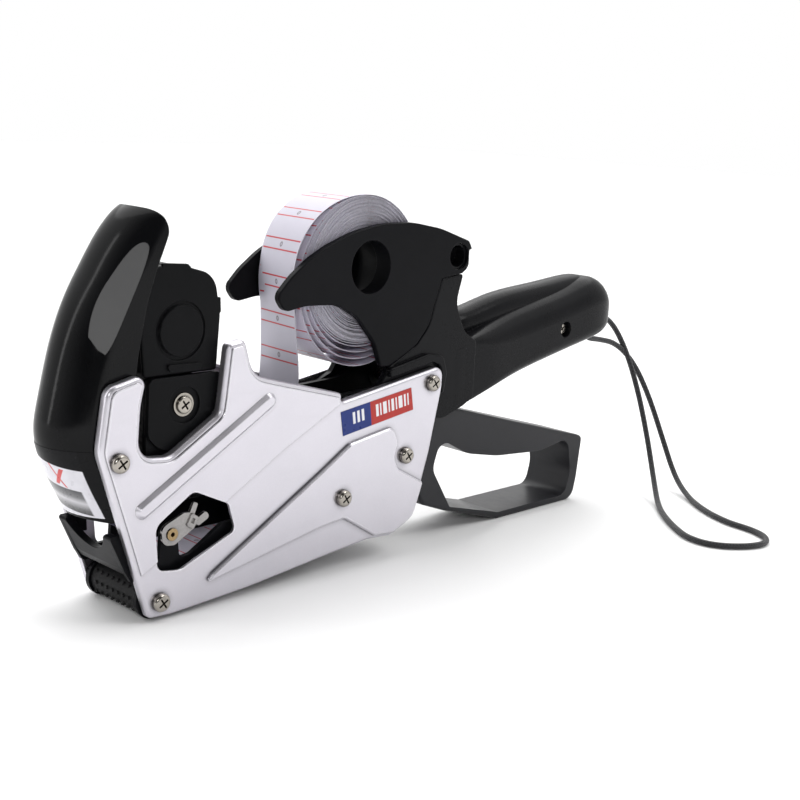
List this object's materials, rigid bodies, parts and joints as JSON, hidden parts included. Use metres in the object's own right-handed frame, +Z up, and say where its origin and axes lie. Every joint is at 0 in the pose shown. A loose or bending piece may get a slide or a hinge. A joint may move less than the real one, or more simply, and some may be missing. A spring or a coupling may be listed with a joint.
{
  "type": "price labeling gun",
  "caption": "Hand-held price labeling gun: metal side plates, black shell and handle, squeeze trigger, print head, top label roll and wrist strap.",
  "frame": {"origin": "middle of the bounding box in X and Y without the wrist strap, on the surface the gun stands on", "axes": "+X from the nose towards the handle, +Z up, -Y is the user's left side"},
  "size_m": [0.2855, 0.1149, 0.1238],
  "materials": {
    "black_plastic": "fine-textured black moulded plastic",
    "cover_plastic": "glossy black moulded plastic",
    "trigger_plastic": "satin dark grey moulded plastic",
    "plate_paint": "pale silver-lavender satin paint on pressed sheet",
    "nickel": "bright nickel-plated steel",
    "steel": "turned steel",
    "brass": "plain brass",
    "rubber": "soft black rubber",
    "ink_foam": "ink-soaked porous rubber",
    "band_rubber": "moulded type rubber",
    "paper": "pale lilac coated label paper",
    "clear": "clear moulded window",
    "label_film": "printed self-adhesive film",
    "cord": "round braided black cord"
  },
  "bodies": {
    "frame": {"arm_spacer": "black_plastic", "body_shell_left": "black_plastic", "body_shell_right": "black_plastic", "cross_pins": "steel", "handle_screw": "nickel", "hinge_pins": "steel", "ink_holder_shaft": "steel", "label_strip": "paper", "lever_eyelet": "brass", "lower_frame": "black_plastic", "lower_spacer": "steel", "peel_plate": "steel", "plate_screws": "nickel", "platen": "black_plastic", "print_arm_shaft": "steel", "return_spring": "steel", "roll_arm_left": "black_plastic", "roll_arm_right": "black_plastic", "roller_shaft": "steel", "side_plate_left": "plate_paint", "side_plate_right": "plate_paint", "side_sticker": "label_film", "trigger_shaft": "steel", "wrist_strap": "cord"},
    "trigger": {"trigger": "trigger_plastic", "link_pin_trigger": "steel"},
    "print_arm": {"print_arm": "black_plastic", "head_housing": "black_plastic", "head_side_cover": "black_plastic", "head_window": "clear", "head_screw": "nickel", "head_screw_ring": "nickel", "print_bands": "band_rubber", "print_nose": "black_plastic", "link_pin_arm": "steel"},
    "drive_link": {"drive_link": "steel"},
    "selector_shaft": {"selector_shaft": "steel"},
    "selector_knob": {"selector_knob": "black_plastic"},
    "front_cover": {"front_cover": "cover_plastic", "front_sticker": "label_film"},
    "ink_holder": {"ink_holder": "black_plastic", "ink_axle": "steel"},
    "ink_roller": {"ink_roller": "ink_foam"},
    "applicator_roller": {"applicator_roller": "rubber", "roller_end_caps": "black_plastic"},
    "label_roll": {"label_roll": "paper", "roll_core": "black_plastic"},
    "feed_wheel": {"feed_wheel": "rubber", "ratchet_wheel": "steel"},
    "guide_roller": {"guide_roller": "black_plastic"},
    "bottom_gate": {"bottom_gate": "black_plastic"},
    "feed_lever": {"feed_lever": "nickel"},
    "band_wheel_1": {"band_wheel_1": "black_plastic"},
    "band_wheel_2": {"band_wheel_2": "black_plastic"},
    "band_wheel_3": {"band_wheel_3": "black_plastic"},
    "band_wheel_4": {"band_wheel_4": "black_plastic"},
    "band_wheel_5": {"band_wheel_5": "black_plastic"},
    "band_wheel_6": {"band_wheel_6": "black_plastic"},
    "band_wheel_7": {"band_wheel_7": "black_plastic"},
    "band_wheel_8": {"band_wheel_8": "black_plastic"}
  },
  "joints": [
    {"name": "trigger_squeeze", "type": "hinge", "parent": "frame", "child": "trigger", "pos_m": [0.0038, 0, 0.0357], "axis": [0, -1, 0], "range_deg": [0, 15], "stiffness_Nm_per_rad": 0.3, "springref_deg": -68.75},
    {"name": "print_arm_swing", "type": "hinge", "parent": "frame", "child": "print_arm", "pos_m": [0.0154, 0, 0.0597], "axis": [0, -1, 0], "range_deg": [0, 9.4]},
    {"name": "drive_link_swing", "type": "hinge", "parent": "print_arm", "child": "drive_link", "pos_m": [-0.024, 0, 0.0536], "axis": [0, -1, 0], "range_deg": [-18.6, 0]},
    {"name": "selector_slide", "type": "slide", "parent": "print_arm", "child": "selector_shaft", "axis": [0, 1, 0], "range_m": [0, 0.016]},
    {"name": "selector_turn", "type": "hinge", "parent": "selector_shaft", "child": "selector_knob", "pos_m": [-0.0869, 0, 0.086], "axis": [0, -1, 0], "continuous": true},
    {"name": "band_wheel_1_turn", "type": "hinge", "parent": "print_arm", "child": "band_wheel_1", "pos_m": [-0.0869, 0, 0.086], "axis": [0, -1, 0], "continuous": true},
    {"name": "band_wheel_2_turn", "type": "hinge", "parent": "print_arm", "child": "band_wheel_2", "pos_m": [-0.0869, 0, 0.086], "axis": [0, -1, 0], "continuous": true},
    {"name": "band_wheel_3_turn", "type": "hinge", "parent": "print_arm", "child": "band_wheel_3", "pos_m": [-0.0869, 0, 0.086], "axis": [0, -1, 0], "continuous": true},
    {"name": "band_wheel_4_turn", "type": "hinge", "parent": "print_arm", "child": "band_wheel_4", "pos_m": [-0.0869, 0, 0.086], "axis": [0, -1, 0], "continuous": true},
    {"name": "band_wheel_5_turn", "type": "hinge", "parent": "print_arm", "child": "band_wheel_5", "pos_m": [-0.0869, 0, 0.086], "axis": [0, -1, 0], "continuous": true},
    {"name": "band_wheel_6_turn", "type": "hinge", "parent": "print_arm", "child": "band_wheel_6", "pos_m": [-0.0869, 0, 0.086], "axis": [0, -1, 0], "continuous": true},
    {"name": "band_wheel_7_turn", "type": "hinge", "parent": "print_arm", "child": "band_wheel_7", "pos_m": [-0.0869, 0, 0.086], "axis": [0, -1, 0], "continuous": true},
    {"name": "band_wheel_8_turn", "type": "hinge", "parent": "print_arm", "child": "band_wheel_8", "pos_m": [-0.0869, 0, 0.086], "axis": [0, -1, 0], "continuous": true},
    {"name": "front_cover_hinge", "type": "hinge", "parent": "frame", "child": "front_cover", "pos_m": [-0.1083, 0, 0.038], "axis": [0, -1, 0], "range_deg": [0, 28]},
    {"name": "ink_holder_swing", "type": "hinge", "parent": "frame", "child": "ink_holder", "pos_m": [-0.1116, 0, 0.0511], "axis": [0, -1, 0], "range_deg": [0, 5], "stiffness_Nm_per_rad": 0.01, "springref_deg": -22.92},
    {"name": "ink_roller_turn", "type": "hinge", "parent": "ink_holder", "child": "ink_roller", "pos_m": [-0.1036, 0, 0.0324], "axis": [0, -1, 0], "continuous": true},
    {"name": "applicator_roller_turn", "type": "hinge", "parent": "frame", "child": "applicator_roller", "pos_m": [-0.097, 0, 0.0062], "axis": [0, -1, 0], "continuous": true},
    {"name": "label_roll_turn", "type": "hinge", "parent": "frame", "child": "label_roll", "pos_m": [-0.0125, 0, 0.0992], "axis": [0, -1, 0], "continuous": true},
    {"name": "feed_wheel_turn", "type": "hinge", "parent": "frame", "child": "feed_wheel", "pos_m": [-0.07, 0, 0.0082], "axis": [0, -1, 0], "continuous": true},
    {"name": "guide_roller_turn", "type": "hinge", "parent": "frame", "child": "guide_roller", "pos_m": [-0.0477, 0, 0.021], "axis": [0, -1, 0], "continuous": true},
    {"name": "bottom_gate_hinge", "type": "hinge", "parent": "frame", "child": "bottom_gate", "pos_m": [-0.0346, 0, 0.0092], "axis": [0, -1, 0], "range_deg": [0, 70]},
    {"name": "feed_lever_swing", "type": "hinge", "parent": "frame", "child": "feed_lever", "pos_m": [-0.0916, 0, 0.0256], "axis": [0, -1, 0], "range_deg": [0, 6]}
  ],
  "couplings": [
    {"joint": "print_arm_swing", "follows": "trigger_squeeze", "ratio": 0.6225},
    {"joint": "drive_link_swing", "follows": "trigger_squeeze", "ratio": -1.2186},
    {"joint": "feed_lever_swing", "follows": "trigger_squeeze", "ratio": 0.4}
  ]
}
